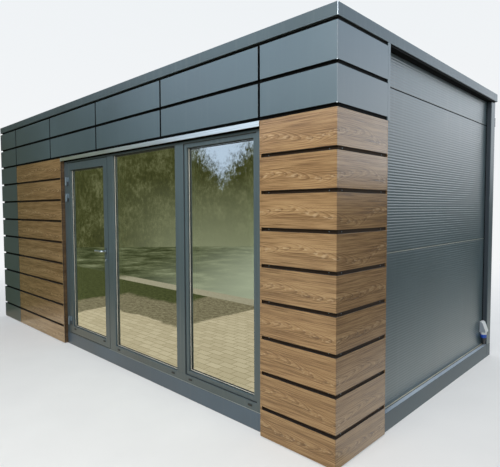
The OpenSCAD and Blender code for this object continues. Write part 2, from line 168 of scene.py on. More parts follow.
def connect(node, sockets):
    """Sets or links the sockets of a node, given by name, or as a row in the order of those in
    use. A node given for a value stands for its first output in use."""
    if isinstance(sockets, dict):
        pairs = [(node.inputs[name], value) for name, value in sockets.items()]
    else:
        pairs = zip([socket for socket in node.inputs if socket.enabled], sockets)
    for socket, value in pairs:
        if isinstance(value, bpy.types.Node):
            value = next(out for out in value.outputs if out.enabled)
        if isinstance(value, bpy.types.NodeSocket):
            node.id_data.links.new(value, socket)
        else:
            socket.default_value = value


def add(tree, kind, sockets=(), stops=()):
    """Adds a shader node with its sockets and the colours of its ramp. A second word in its kind
    is its mode, such as what a Math node does."""
    kind, *modes = kind.split()
    made = tree.nodes.new("ShaderNode" + kind)
    for mode in modes:
        setattr(made, MODES[kind], mode)
    if stops:
        points = made.color_ramp.elements
        while len(points) < len(stops):
            points.new(1.0)
        for point, (place, colour) in zip(points, stops):
            point.position, point.color = place, linear(colour)
    connect(made, sockets)
    return made


def begin(name):
    """A new material: it, its tree, its shader and the place on the object."""
    material = bpy.data.materials.new(name)
    material.use_nodes = True
    tree = material.node_tree
    place = add(tree, "TexCoord").outputs["Object"]
    return material, tree, tree.nodes["Principled BSDF"], place


def surface(last):
    """Makes a node the last one of its material."""
    connect(last.id_data.nodes["Material Output"], {"Surface": last})


def powder_coat(name, dark, light, rough, dust="#9aa09c", dirt=0.10, grain=0.10, specular=0.5):
    """Polyester powder coat on steel: even and matt, with the faint texture of the powder,
    a slow change of tone over each sheet, and the thin streaks that rain leaves in the dust."""
    material, tree, shader, place = begin(name)
    tone = add(tree, "TexNoise", {"Vector": place, "Scale": 1.1, "Detail": 4.0})
    base = add(tree, "ValToRGB", [tone], [(0.35, dark), (0.65, light)])
    # Streaks 30 mm wide and about a metre long
    drawn = add(tree, "Mapping", {"Vector": place, "Scale": (1.0, 1.0, 0.03)})
    streak = add(tree, "TexNoise", {"Vector": drawn, "Scale": 33.0, "Detail": 3.0})
    share = add(tree, "MapRange", [streak, 0.52, 0.80, 0.0, dirt])
    dusty = add(tree, "Mix RGBA", [share, base, linear(dust)])
    gloss = add(tree, "MapRange", [tone, 0.3, 0.7, rough - 0.02, rough + 0.04])
    # Powder grain is about 0.5 mm, drawn at 4 mm so that it shows
    peel = add(tree, "TexNoise", {"Vector": place, "Scale": 250.0, "Detail": 2.0})
    bump = add(tree, "Bump", {"Height": peel, "Strength": grain, "Distance": 0.0006})
    connect(shader, {"Base Color": dusty, "Roughness": gloss, "Normal": bump,
                     "Specular IOR Level": specular})
    return material


def wood_laminate(name, dark, mid, light, fleck):
    """Compact laminate with a walnut print: flat and silky, with fine fibres along each board,
    faint arches of late wood and short pale flecks. The print repeats on the boards, each a hand
    further along, and changes every second row."""
    material, tree, shader, place = begin(name)
    axis = add(tree, "SeparateXYZ", [place]).outputs
    # The grain runs along the front and then along the side, so its length is X plus Y
    along = add(tree, "Math ADD", [axis["X"], axis["Y"]])
    first = -(OPEN_TOP % ROW_PITCH) / ROW_PITCH
    level = add(tree, "Math MULTIPLY_ADD", [axis["Z"], 1 / ROW_PITCH, first])
    row = add(tree, "Math FLOOR", [level])
    inside = add(tree, "Math FRACT", [level])
    height = add(tree, "Math MULTIPLY", [inside, ROW_PITCH])
    shifted = add(tree, "Math MULTIPLY_ADD", [row, 0.068, along])
    pair = add(tree, "Math SNAP", [row, 2.0])
    board = add(tree, "CombineXYZ", [shifted, pair, height])
    # Noises drawn out along the board, with their scales per metre: fibres 3 mm apart, long dark
    # streaks, bands 30 mm high, and flecks 25 mm long and 3 mm high
    drawn = []
    for scale, detail in (((1.6, 1.37, 0.0), 1.0), ((2.6, 1.9, 9.0), 2.0), ((4.0, 3.0, 210.0), 5.0),
                          ((2.4, 4.3, 170.0), 2.0), ((1.1, 2.3, 30.0), 2.0),
                          ((30.0, 1.9, 150.0), 1.0)):
        stretched = add(tree, "Mapping", {"Vector": board, "Scale": scale})
        drawn.append(add(tree, "TexNoise", {"Vector": stretched, "Scale": 1.0, "Detail": detail}))
    wander, ripple, fibre, long, band, short = drawn
    # Arches: rings 5 mm apart at a board's edges, which open into a row of nested arches along
    # its heart, about 0.4 m long each
    heart_line = add(tree, "Math MULTIPLY_ADD", [wander, -0.24, height])
    off_heart = add(tree, "Math ABSOLUTE", [heart_line])
    squared = add(tree, "Math POWER", [off_heart, 2.0])
    opened = add(tree, "Math MULTIPLY_ADD", [squared, 1150.0, ripple])
    rings = add(tree, "Math MULTIPLY_ADD", [shifted, 10.0, opened])
    ring_share = add(tree, "Math FRACT", [rings])
    late = add(tree, "MapRange SMOOTHSTEP", [ring_share, 0.45, 1.0])
    streak = add(tree, "MapRange SMOOTHSTEP", [long, 0.56, 0.72, 0.0, 0.11])
    lines = add(tree, "Math MULTIPLY_ADD", [late, 0.10, streak])
    with_fibre = add(tree, "Math MULTIPLY_ADD", [fibre, 0.62, lines])
    total = add(tree, "Math MULTIPLY_ADD", [band, 0.32, with_fibre])
    grain = add(tree, "ValToRGB", [total], [(0.41, light), (0.54, mid), (0.67, dark)])
    # Pale flecks in the hearts of the arches
    heart = add(tree, "MapRange SMOOTHSTEP", [off_heart, 0.004, 0.030, 0.48, 0.0])
    pale = add(tree, "MapRange SMOOTHSTEP", [short, 0.55, 0.66])
    share = add(tree, "Math MULTIPLY", [pale, heart])
    flecked = add(tree, "Mix RGBA", [share, grain, linear(fleck)])
    gloss = add(tree, "MapRange", [total, 0.4, 0.7, 0.20, 0.28])
    bump = add(tree, "Bump", {"Height": fibre, "Strength": 0.06, "Distance": 0.0003})
    connect(shader, {"Base Color": flecked, "Roughness": gloss, "Normal": bump})
    return material


def panel_inside(name, outer, inner):
    """Coil-coated sandwich panel, anthracite outside and white inside. The white face has the
    faint lines of the rolled sheet and the slight mottling of thin lacquer."""
    material, tree, shader, place = begin(name)
    axis = add(tree, "SeparateXYZ", [place]).outputs
    room_low, room_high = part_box("floor")
    reach = 0.03         # the white faces end inside the walls
    side = add(tree, "Math ABSOLUTE", [axis["X"]])
    in_x = add(tree, "Math LESS_THAN", [side, room_high.x + reach])
    shift = add(tree, "Math SUBTRACT", [axis["Y"], (room_low.y + room_high.y) / 2])
    deep = add(tree, "Math ABSOLUTE", [shift])
    in_y = add(tree, "Math LESS_THAN", [deep, (room_high.y - room_low.y) / 2 + reach])
    inside = add(tree, "Math MULTIPLY", [in_x, in_y])
    mottle = add(tree, "TexNoise", {"Vector": place, "Scale": 3.0, "Detail": 5.0})
    white = add(tree, "ValToRGB", [mottle], [(0.35, inner), (0.65, "#e9ebe6")])
    grey = add(tree, "ValToRGB", [mottle], [(0.35, outer), (0.65, "#4c5b60")])
    both = add(tree, "Mix RGBA", [inside, grey, white])
    fine = add(tree, "TexNoise", {"Vector": place, "Scale": 180.0})
    bump = add(tree, "Bump", {"Height": fine, "Strength": 0.05, "Distance": 0.0005})
    connect(shader, {"Base Color": both, "Roughness": 0.42, "Normal": bump})
    return material


def rolled_metal(name, dark, light, rough):
    """Bare folded aluminium or satin steel: a metal with fine lines along its length."""
    material, tree, shader, place = begin(name)
    drawn = add(tree, "Mapping", {"Vector": place, "Scale": (3.0, 90.0, 260.0)})
    lines = add(tree, "TexNoise", {"Vector": drawn, "Scale": 1.0, "Detail": 3.0})
    tone = add(tree, "ValToRGB", [lines], [(0.3, dark), (0.7, light)])
    gloss = add(tree, "MapRange", {0: lines, "To Min": rough - 0.08, "To Max": rough + 0.10})
    bump = add(tree, "Bump", {"Height": lines, "Strength": 0.08, "Distance": 0.0004})
    connect(shader, {"Base Color": tone, "Roughness": gloss, "Normal": bump, "Metallic": 1.0})
    return material


def moulded(name, dark, light, rough, grain, specular=0.5):
    """Moulded plastic or rubber: even colour with a fine spark-eroded grain, rubbed a little."""
    material, tree, shader, place = begin(name)
    rubbed = add(tree, "TexNoise", {"Vector": place, "Scale": 9.0, "Detail": 6.0})
    tone = add(tree, "ValToRGB", [rubbed], [(0.3, dark), (0.7, light)])
    gloss = add(tree, "MapRange", {0: rubbed, "To Min": rough - 0.06, "To Max": rough + 0.10})
    pits = add(tree, "TexNoise", {"Vector": place, "Scale": grain})
    bump = add(tree, "Bump", {"Height": pits, "Strength": 0.10, "Distance": 0.0004})
    connect(shader, {"Base Color": tone, "Roughness": gloss, "Normal": bump,
                     "Specular IOR Level": specular})
    return material


def vinyl_floor(name, dark, light):
    """Sheet vinyl with printed chips about 6 mm wide and a dull sheen."""
    material, tree, shader, place = begin(name)
    chips = add(tree, "TexVoronoi", {"Vector": place, "Scale": 160.0})
    dirt = add(tree, "TexNoise", {"Vector": place, "Scale": 2.5, "Detail": 6.0})
    mixed = add(tree, "Math MULTIPLY_ADD", [chips, 0.4, dirt])
    tone = add(tree, "ValToRGB", [mixed], [(0.35, dark), (0.85, light)])
    bump = add(tree, "Bump", {"Height": chips, "Strength": 0.05, "Distance": 0.0005})
    connect(shader, {"Base Color": tone, "Roughness": 0.5, "Normal": bump})
    return material


def coated_glass(name):
    """Double glazing with a reflecting coat: it mirrors most of what is in front of it, more so
    at a flat angle, and lets a green-grey share of the room through. Rain has left a faint film."""
    material, tree, shader, place = begin(name)
    tree.nodes.remove(shader)
    clear = add(tree, "BsdfTransparent", {"Color": linear("#b9c8bd")})
    film = add(tree, "TexNoise", {"Vector": place, "Scale": 1.7, "Detail": 5.0})
    haze = add(tree, "MapRange", [film, 0.4, 0.75, 0.0, 0.03])
    mirror = add(tree, "BsdfGlossy", {"Color": linear("#e2e4d6"), "Roughness": haze})
    angle = add(tree, "LayerWeight", {"Blend": 0.30})
    share = add(tree, "MapRange", {0: angle, "To Min": 0.52})
    surface(add(tree, "MixShader", [share, clear, mirror]))
    return material


STEEL = powder_coat("anthracite_powder_coat", "#3d4c52", "#47575e", 0.40)
BASE = powder_coat("anthracite_base_paint", "#445564", "#4d6071", 0.50, "#8d8a80", 0.07)
# A darker copy of the base paint for the side and rear rails, as painted shade
SHADED_BASE = powder_coat("base_paint_painted_shade", "#38454b", "#414f56", 0.55, "#7d7f79", 0.06)
PLAIN = powder_coat("anthracite_cassette_sheet", "#3a4e58", "#425761", 0.36, dirt=0.03,
                    grain=0.03, specular=0.95)
# A dark coat for a sheet on the front face of each rear post: painted shade in the recess
POST_SHADE = powder_coat("post_face_painted_shade", "#1b2731", "#232f3a", 0.50, dirt=0.05)
HINGE = powder_coat("hinge_powder_coat", "#5f707c", "#6d7f8c", 0.34, dirt=0.03)
SHEET = powder_coat("ribbed_coil_coating", "#42545a", "#4a5d63", 0.31, dirt=0.06, grain=0.01,
                    specular=0.72)
# Pale blue-grey for a strip on the ledges: painted light, the sky lighting the ledge's top
SKY_LIT_LEDGE = powder_coat("ledge_painted_sky_light", "#b3c0cf", "#c6d2de", 0.55, "#d2d6d6", 0.25)
ROOF = powder_coat("roof_sheet_coating", "#6a7072", "#7b8183", 0.55, "#a5a296", 0.35)
WOOD = wood_laminate("walnut_laminate", "#5a4029", "#856746", "#a98a63", "#cdb38e")
# A darker copy of the walnut laminate for the recessed reveals: painted shade
SHADED_WOOD = wood_laminate("walnut_laminate_painted_shade", "#35281a", "#4f3d2a", "#67523a", "#7d6a50")
PANEL = panel_inside("sandwich_panel_faces", "#445358", "#dfe2dc")
CEILING = moulded("ceiling_lacquer", "#dfe1dd", "#edeeeb", 0.45, 300.0)
VINYL = vinyl_floor("sheet_vinyl", "#8b8880", "#b2afa6")
BARE = rolled_metal("mill_finish_aluminium", "#b9bfc3", "#dfe4e8", 0.32)
SATIN = rolled_metal("satin_stainless_steel", "#8e979d", "#b4bcc1", 0.30)
PLATE = rolled_metal("dark_satin_plate", "#59646c", "#727e87", 0.34)
BRIGHT = rolled_metal("nickelled_brass", "#c3c8cc", "#e6eaee", 0.22)
GLASS = coated_glass("coated_double_glazing")
# Black rubber for seals, caps and keyways, also used as painted shade in the door's gap and behind
# the power inlet
RUBBER_AND_SHADE = moulded("black_rubber_and_painted_shade", "#0d0f10", "#1a1d1f", 0.60, 420.0)
# Near-black for seals, and as painted shade in the cladding gaps, under the eaves and below the
# drip strip
BLACK_SEAL_AND_SHADE = moulded("black_seal_and_painted_shade", "#020303", "#050606", 0.80, 200.0, 0.12)
WHITE_ABS = moulded("light_grey_abs", "#e6ebef", "#f4f7f9", 0.38, 500.0)
GREY_ABS = moulded("grey_abs_panel", "#8d97a3", "#a1abb6", 0.42, 500.0)
BLUE_PA = moulded("blue_polyamide", "#0d3fa3", "#1a55c0", 0.35, 500.0)
# Black polyamide for the inlet cap and the outlet box, also painted shade on the hinges
BLACK_PA_AND_SHADE = moulded("black_polyamide_and_painted_shade", "#101214", "#1e2123", 0.45, 500.0)
SEALANT = moulded("cream_sealant", "#b7b09a", "#d3ccb6", 0.50, 240.0)
# Near-black on the board edges: a dark laminate core, darkened further as painted shade on their
# tops and undersides
DARK_CORE_AND_SHADE = moulded("dark_core_and_painted_shade", "#140e0a", "#241a13", 0.6, 260.0)
# Dark brown behind the boards: a brown backing, darkened as painted shade in the gaps
BROWN_IN_SHADE = moulded("brown_backing_painted_shade", "#1f1408", "#2f2010", 0.8, 160.0, 0.25)
# Pale cream on lips that stand for lit edges: painted light on the glazing beads and the lower wall
# joints
PALE_LIT_EDGE = moulded("pale_painted_light_edge", "#c2c2b6", "#dcdcd2", 0.45, 300.0)

NODE_FINISH = (
    (VINYL, ["floor"]),
    (ROOF, ["roof_panel"]),
    (CEILING, ["ceiling"]),
    (PANEL, ["left_wall", "right_wall", "rear_wall", "front_wall_left", "front_wall_right",
             "front_wall_header"]),
    (GLASS, ["fixed_glass", "sash_glass", "door_glass"]),
)


def dress_nodes():
    """Gives the nodes that show as they are their finish. Pieces stand for all the others."""
    for material, names in NODE_FINISH:
        for name in names:
            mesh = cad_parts[name].data
            mesh.materials.clear()
            mesh.materials.append(material)


# ---------- making pieces ----------

def deselect():
    """Leaves nothing selected, so that an operator acts only on what comes next."""
    for thing in bpy.context.selected_objects:
        thing.select_set(False)


def use(piece):
    """Makes a piece the only selected and active one."""
    deselect()
    piece.select_set(True)
    bpy.context.view_layer.objects.active = piece


def apply_place(piece):
    """Moves a piece's place, turn and size into its mesh."""
    use(piece)
    bpy.ops.object.transform_apply(location=True, rotation=True, scale=True)
    return piece


def mode(name):
    """Goes into object or edit mode."""
    bpy.ops.object.mode_set(mode=name)


def block(corner, opposite):
    """A box between two opposite corners, as the start of a piece."""
    low, high = (Vector(map(end, corner, opposite)) for end in (min, max))
    deselect()
    bpy.ops.mesh.primitive_cube_add(size=1.0, location=(low + high) / 2)
    piece = bpy.context.active_object
    piece.scale = high - low
    return apply_place(piece)


def rod(start, end, radius, sides=32):
    """A round bar between two points, as the start of a piece."""
    start, end = Vector(start), Vector(end)
    deselect()
    bpy.ops.mesh.primitive_cylinder_add(vertices=sides, radius=radius, depth=(end - start).length,
                                        location=(start + end) / 2)
    piece = bpy.context.active_object
    piece.rotation_euler = (end - start).to_track_quat("Z", "Y").to_euler()
    return apply_place(piece)


def pick(piece, kind, test=lambda place, run: True):
    """Goes into edit mode with those points, edges or faces selected that pass the test, which
    gets the middle of each, and the normal of a point or face or the run of an edge."""
    use(piece)
    if bpy.context.mode != "OBJECT":
        mode("OBJECT")
    mesh = piece.data
    bpy.context.tool_settings.mesh_select_mode = [kind == k for k in ("point", "edge", "face")]
    for group in (mesh.vertices, mesh.edges, mesh.polygons):
        group.foreach_set("select", [False] * len(group))
    if kind == "edge":
        for edge in mesh.edges:
            a, b = (mesh.vertices[i].co for i in edge.vertices)
            edge.select = test((a + b) / 2, b - a)
    for face in mesh.polygons if kind == "face" else ():
        face.select = test(face.center, face.normal)
    for point in mesh.vertices if kind == "point" else ():
        point.select = test(point.co, point.normal)
    mode("EDIT")


def done(piece):
    """Back to object mode, with the faces turned outwards."""
    if bpy.context.mode == "OBJECT":
        use(piece)
        mode("EDIT")
    bpy.ops.mesh.select_all(action="SELECT")
    bpy.ops.mesh.normals_make_consistent(inside=False)
    mode("OBJECT")
    return piece


def slice_at(piece, place, run, **settings):
    """Cuts the faces of a piece by a plane, and stays in edit mode."""
    pick(piece, "face")
    bpy.ops.mesh.bisect(plane_co=place, plane_no=run, **settings)


def apply_modifier(piece, kind, **settings):
    """Adds a modifier with its settings and applies it."""
    use(piece)
    made = piece.modifiers.new(kind.lower(), kind)
    for name, value in settings.items():
        setattr(made, name, value)
    bpy.ops.object.modifier_apply(modifier=made.name)
    return piece


def repeat(piece, count, rise, **settings):
    """Repeats a piece upwards, or downwards for a rise below zero."""
    return apply_modifier(piece, "ARRAY", count=count, use_relative_offset=False,
                          use_constant_offset=True, constant_offset_displace=(0.0, 0.0, rise),
                          **settings)


def soften(piece, width, segments=2, angle=30.0):
    """Rounds the edges that turn by more than an angle, and shades the rest smoothly."""
    apply_modifier(piece, "BEVEL", width=width, segments=segments, limit_method="ANGLE",
                   angle_limit=math.radians(angle))
    bpy.ops.object.shade_smooth_by_angle(angle=math.radians(35.0))
    return apply_modifier(piece, "WEIGHTED_NORMAL", keep_sharp=True)


def join(name, parts):
    """One or more parts as one piece with a name."""
    use(parts[0])
    for part in parts:
        part.select_set(True)
    if len(parts) > 1:
        bpy.ops.object.join()
    piece = bpy.context.active_object
    piece.name = piece.data.name = name
    return piece


def finish(piece, material, slot, body="cabin", replaces=(), edges=None):
    """Gives a piece its finish and body, and hides the nodes it stands for. Faces that look up,
    down or into an upright gap can have a finish of their own."""
    piece.data.materials.clear()
    piece.data.materials.append(material)
    # The second finish on tops, undersides and upright gap faces is painted shade: black on the
    # plain panels, the dark core on the boards
    if edges:
        piece.data.materials.append(edges)
        for face in piece.data.polygons:
            face.material_index = int(abs(face.normal.z) > 0.8 or abs(face.normal.x) > 0.8
                                      and abs(face.center.x) < CORNER_X - 0.012)
    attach(piece, body)
    if replaces:
        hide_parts(*replaces)
    return piece


def make(name, parts, width, material, slot, *rest, segments=2, angle=30.0, **more):
    """Joins parts, rounds their edges by a width and finishes the piece."""
    return finish(soften(join(name, parts), width, segments, angle), material, slot, *rest, **more)


def shape_of(node):
    """A new part with the shape of a node, its flat faces whole."""
    piece = link(bpy.data.objects.new(node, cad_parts[node].data.copy()))
    use(piece)
    mode("EDIT")
    bpy.ops.mesh.select_all(action="SELECT")
    bpy.ops.mesh.remove_doubles(threshold=0.00005)
    bpy.ops.mesh.dissolve_limited(angle_limit=math.radians(1.0))
    mode("OBJECT")
    return piece


def rounded(names, material, slot, width, body="cabin"):
    """Nodes whose shape is right, with their edges rounded as folded or rolled metal has them."""
    for node in names.split():
        make(node + "_rounded", [shape_of(node)], width, material, slot, body, [node])


def bent_bar(points, radius):
    """A round bar along a row of points."""
    path = bpy.data.curves.new("bar", "CURVE")
    path.dimensions = "3D"
    path.bevel_depth, path.bevel_resolution, path.use_fill_caps = radius, 6, True
    line = path.splines.new("POLY")
    line.points.add(len(points) - 1)
    for point, place in zip(line.points, points):
        point.co = (*place, 1.0)
    use(link(bpy.data.objects.new("bar", path)))
    bpy.ops.object.convert(target="MESH")
    piece = bpy.context.active_object
    pick(piece, "point")
    bpy.ops.mesh.remove_doubles(threshold=0.00005)
    return done(piece)


# ---------- cladding ----------

def row_heights(row):
    """Bottom and top of a row of cladding; the last row ends above the ground."""
    top = FIRST_TOP - row * ROW_PITCH
    return max(top - ROW_PITCH + ROW_GAP, CLAD_FOOT), top


def rows_of(first, count, shape, *place):
    """Rows of one panel: the first is made, then repeated down, and a cut last row is made."""
    full = min(count, PLAIN_ROWS + BOARD_ROWS - 1 - first)
    parts = [repeat(shape(*place, *row_heights(first)), full, -ROW_PITCH)]
    if full < count:
        parts.append(shape(*place, *row_heights(first + full)))
    return parts


def flat_panel(x0, x1, z0, z1):
    """A panel on the front."""
    return block((x0, FACE_Y, z0), (x1, FACE_Y + FRONT_DEPTH, z1))


def folded_panel(side, x0, z0, z1):
    """A panel folded round a corner of the cabin, right for side 1 and left for side -1."""
    fold_x = side * (CORNER_X - SIDE_DEPTH)
    piece = flat_panel(x0, side * CORNER_X, z0, z1)
    slice_at(piece, (fold_x, 0.0, 0.0), (1.0, 0.0, 0.0))
    pick(piece, "face", lambda middle, normal: normal.y > 0.9 and middle.x * side > fold_x * side)
    bpy.ops.mesh.extrude_region_move(
        TRANSFORM_OT_translate={"value": (0.0, RETURN_L - EDGE_W - FRONT_DEPTH, 0.0)})
    return done(piece)


def mitred(piece, x, y, move):
    """Slides the upright edge at a place, so that two boards meet at the corner."""
    pick(piece, "edge", lambda middle, run: abs(run.z) > 0.1
         and abs(middle.x - x) < 0.001 and abs(middle.y - y) < 0.001)
    bpy.ops.transform.translate(value=move)
    return done(piece)


def mitred_board(x0, z0, z1):
    """A board on the front whose end is cut to meet the board on the side."""
    return mitred(flat_panel(x0, CORNER_X, z0, z1), CORNER_X, FACE_Y + FRONT_DEPTH,
                  (-SIDE_DEPTH, 0.0, 0.0))


def return_board(z0, z1):
    """A board on the side, cut to meet the board on the front."""
    x = CORNER_X - SIDE_DEPTH
    return mitred(block((x, FACE_Y, z0), (CORNER_X, RETURN_Y - EDGE_W, z1)), x, FACE_Y,
                  (0.0, FRONT_DEPTH, 0.0))


def backing(side, x0, z0, z1):
    """The sheet behind the panels at a corner, which shows in the gaps, dark there as painted
    shade.
    """
    outer = side * (CORNER_X - SIDE_DEPTH)
    return [block((x0, FACE_Y + FRONT_DEPTH, z0), (outer, FRAME_Y, z1)),
            block((side * STEEL_X, FRAME_Y, z0), (outer, RETURN_Y - EDGE_W, z1))]


def end_strip(side, z0, z1, further=0.0):
    """The strip that closes the rows on a side and turns in to the wall, above the base rail."""
    steel, end = side * STEEL_X, RETURN_Y + further
    return [block((steel, RETURN_Y - EDGE_W, z0), (side * CORNER_X, end, z1)),
            block((side * WALL_X, end - EDGE_W, max(z0, BASE_TOP)), (steel, end, z1))]


def gap_screws():
    """Small pan-head screws in the gaps between the boards, which hold the backing."""
    radius, out = 0.0040, 0.002
    z = OPEN_TOP - ROW_PITCH + ROW_GAP / 2
    front_y, side_x = FACE_Y + FRONT_DEPTH, CORNER_X - SIDE_DEPTH
    heads = [rod((x, front_y, z), (x, front_y - out, z), radius, 12)
             for x in (-2.30, -0.95, 2.43, 2.93)]
    heads += [rod((side_x, FACE_Y + reach, z), (side_x + out, FACE_Y + reach, z), radius, 12)
              for reach in (0.07, 0.56)]
    make("gap_screws", [repeat(head, BOARD_ROWS - 1, -ROW_PITCH) for head in heads], 0.0008,
         PLATE, "handle_metal")


def mitre_tips():
    """The bare cut tips of the folded panels, at the foot of each plain row at a corner."""
    start, end, deep = 0.0012, 0.0072, 0.006
    tips = [block((side * (CORNER_X - end), FACE_Y + 0.0002, row_heights(row)[0] - 0.003),
                  (side * (CORNER_X - start), FACE_Y + deep, row_heights(row)[0] + 0.002))
            for side in SIDES for row in range(PLAIN_ROWS)]
    make("mitre_tips", tips, FINE_EDGE, BARE, "bare_metal")


def clad():
    """All cladding in its rows, with backing, end strips and screws."""
    seam, foot = SEAM_W / 2, CLAD_FOOT
    corner = CORNER_X - CORNER_L
    column = -corner - COLUMN_GAP
    left, right = OPEN_LEFT - REVEAL_W, OPEN_RIGHT + REVEAL_W
    lower = PLAIN_ROWS, BOARD_ROWS

    step = 2 * corner / PANEL_COUNT
    plain, dark = [], []
    for i in range(PANEL_COUNT):
        start = i * step - corner
        plain += rows_of(0, PLAIN_ROWS, flat_panel, start + seam, start + step - seam)
    for side in SIDES:
        plain += rows_of(0, PLAIN_ROWS, folded_panel, side, side * (corner + seam))
        plain += end_strip(side, OPEN_TOP, ROOF_Z, PLAIN_END)
        dark += backing(side, 0.0, OPEN_TOP, ROOF_Z)
    dark += backing(-1, column, foot, OPEN_TOP)
    make("plain_panels", plain, PANEL_EDGE, PLAIN, "plain_cladding",
         replaces=["cladding_top"], edges=BLACK_SEAL_AND_SHADE)
    make("corner_panels", rows_of(*lower, folded_panel, -1, column) + end_strip(-1, foot, OPEN_TOP),
         PANEL_EDGE, PLAIN, "plain_cladding", replaces=["cladding_left_corner"], edges=BLACK_SEAL_AND_SHADE)
    # The black backing in the gaps of the plain rows is painted shade
    make("panel_backing_shade", dark, FINE_EDGE, BLACK_SEAL_AND_SHADE, "plain_cladding")

    boards = rows_of(*lower, flat_panel, -corner, left)
    boards.append(block((left, FACE_Y, foot), (OPEN_LEFT, FACE_Y + EDGE_W, OPEN_TOP)))
    make("left_boards", boards, BOARD_EDGE, WOOD, "board_laminate",
         replaces=["cladding_left_boards"], edges=DARK_CORE_AND_SHADE)
    boards = rows_of(*lower, mitred_board, right) + rows_of(*lower, return_board)
    boards.append(block((OPEN_RIGHT, FACE_Y, foot), (right, FACE_Y + EDGE_W, OPEN_TOP)))
    make("right_boards", boards + end_strip(1, foot, OPEN_TOP), BOARD_EDGE, WOOD,
         "board_laminate", replaces=["cladding_right_boards"], edges=DARK_CORE_AND_SHADE)
    # The reveals take the darker copy of the laminate, as painted shade in the opening
    reveals = [block((x0, FACE_Y + 0.004, foot), (x1, FRAME_Y, OPEN_TOP))
               for x0, x1 in ((left + 0.001, OPEN_LEFT - 0.0004),
                              (OPEN_RIGHT + 0.0004, right - 0.001))]
    make("reveal_boards", reveals, BOARD_EDGE, SHADED_WOOD, "board_laminate")
    # The brown backing in the board gaps, darkened as painted shade
    shaded_brown = backing(1, right, foot, OPEN_TOP)
    shaded_brown.append(block((-corner, FACE_Y + FRONT_DEPTH, foot), (left, FRAME_Y, OPEN_TOP)))
    make("board_backing", shaded_brown, FINE_EDGE, BROWN_IN_SHADE, "board_laminate")
    gap_screws()
    mitre_tips()


# ---------- side and rear walls ----------

def ribbed_panel(length, z0, z1):
    """One fine-ribbed sheet with its face towards +X and its foot along +Y from the origin."""
    deselect()
    bpy.ops.mesh.primitive_plane_add(size=1.0, location=(0.0, length / 2, z0 + RIB_PITCH / 2),
                                     rotation=(0.0, math.radians(90.0), 0.0))
    piece = bpy.context.active_object
    piece.scale = (RIB_PITCH, length, 1.0)
    apply_place(piece)
    cuts = [z0 + RIB_PITCH * share for share in (0.12, 0.28, 0.72, 0.88)]
    for cut in cuts:
        slice_at(piece, (0.0, 0.0, cut), (0.0, 0.0, 1.0))
    pick(piece, "point", lambda place, normal: cuts[0] + 0.001 < place.z < cuts[3] - 0.001)
    bpy.ops.transform.translate(value=(RIB_OUT, 0.0, 0.0))
    mode("OBJECT")
    repeat(piece, math.ceil((z1 - z0) / RIB_PITCH), RIB_PITCH, use_merge_vertices=True,
           merge_threshold=0.0002)
    slice_at(piece, (0.0, 0.0, z1), (0.0, 0.0, 1.0), clear_outer=True)
    mode("OBJECT")
    # The sheet gets its thickness away from the room and stands on the face of the wall
    return apply_modifier(piece, "SOLIDIFY", thickness=SHEET_T, offset=1.0)


def wall_sheets(node, length, turn, corner):
    """The sheets of one wall, between its joints, turned and moved to its outer face."""
    half = JOINT_W / 2
    piece = join(node + "_sheet", [
        ribbed_panel(length, z0, z1)
        for z0, z1 in ((BASE_TOP, LOW_JOINT - half), (LOW_JOINT + half, HIGH_JOINT - half),
                       (HIGH_JOINT + half, ROOF_Z))])
    piece.rotation_euler = (0.0, 0.0, math.radians(turn))
    piece.location = corner
    done(apply_place(piece))
    use(piece)
    bpy.ops.object.shade_smooth_by_angle(angle=math.radians(50.0))
    finish(piece, SHEET, "wall_panel")


def walls():
    """The ribbed sheets, the cream sealant where they stand on the base rails, and a pale strip on
    the ledge outside it, painted sky light on the ledge's top."""
    low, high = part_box("right_wall")
    wall_sheets("right_wall", high.y - low.y, 0.0, (high.x, low.y, 0.0))
    left_low, left_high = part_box("left_wall")
    wall_sheets("left_wall", left_high.y - left_low.y, 180.0, (left_low.x, left_high.y, 0.0))
    back_low, back_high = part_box("rear_wall")
    wall_sheets("rear_wall", back_high.x - back_low.x, 90.0, (back_high.x, back_high.y, 0.0))

    bead, rise, start_y = 0.009, 0.007, RETURN_Y + 0.001
    start, edge, lift = bead + 0.006, 0.003, 0.0012
    rear_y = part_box("base_rail_rear")[1].y
    beads, lit_ledge = [], []
    for side in SIDES:
        beads.append(block((side * WALL_X, start_y, BASE_TOP),
                           (side * (WALL_X + bead), high.y, BASE_TOP + rise)))
        lit_ledge.append(block((side * (WALL_X + start), start_y, BASE_TOP),
                           (side * (STEEL_X - edge), high.y, BASE_TOP + lift)))
    beads.append(block((back_low.x, back_high.y, BASE_TOP),
                       (back_high.x, back_high.y + bead, BASE_TOP + rise)))
    lit_ledge.append(block((back_low.x, back_high.y + start, BASE_TOP),
                       (back_high.x, rear_y - edge, BASE_TOP + lift)))
    make("wall_sealant", beads, 0.003, SEALANT, "wall_panel", segments=3)
    # A pale strip on each ledge: painted sky light on its top
    make("ledge_painted_light", lit_ledge, 0.0005, SKY_LIT_LEDGE, "base_paint")


# ---------- glazed front ----------

def ring(low, high, width, inset=0.0):
    """A rectangular frame with mitred corners, between its outer corners or inset from them."""
    piece = block((low[0] + inset, low[1], low[2] + inset),
                  (high[0] - inset, high[1], high[2] - inset))
    pick(piece, "face", lambda middle, normal: abs(normal.y) > 0.9)
    bpy.ops.mesh.inset(thickness=width, depth=0.0)
    bpy.ops.mesh.bridge_edge_loops()
    return done(piece)


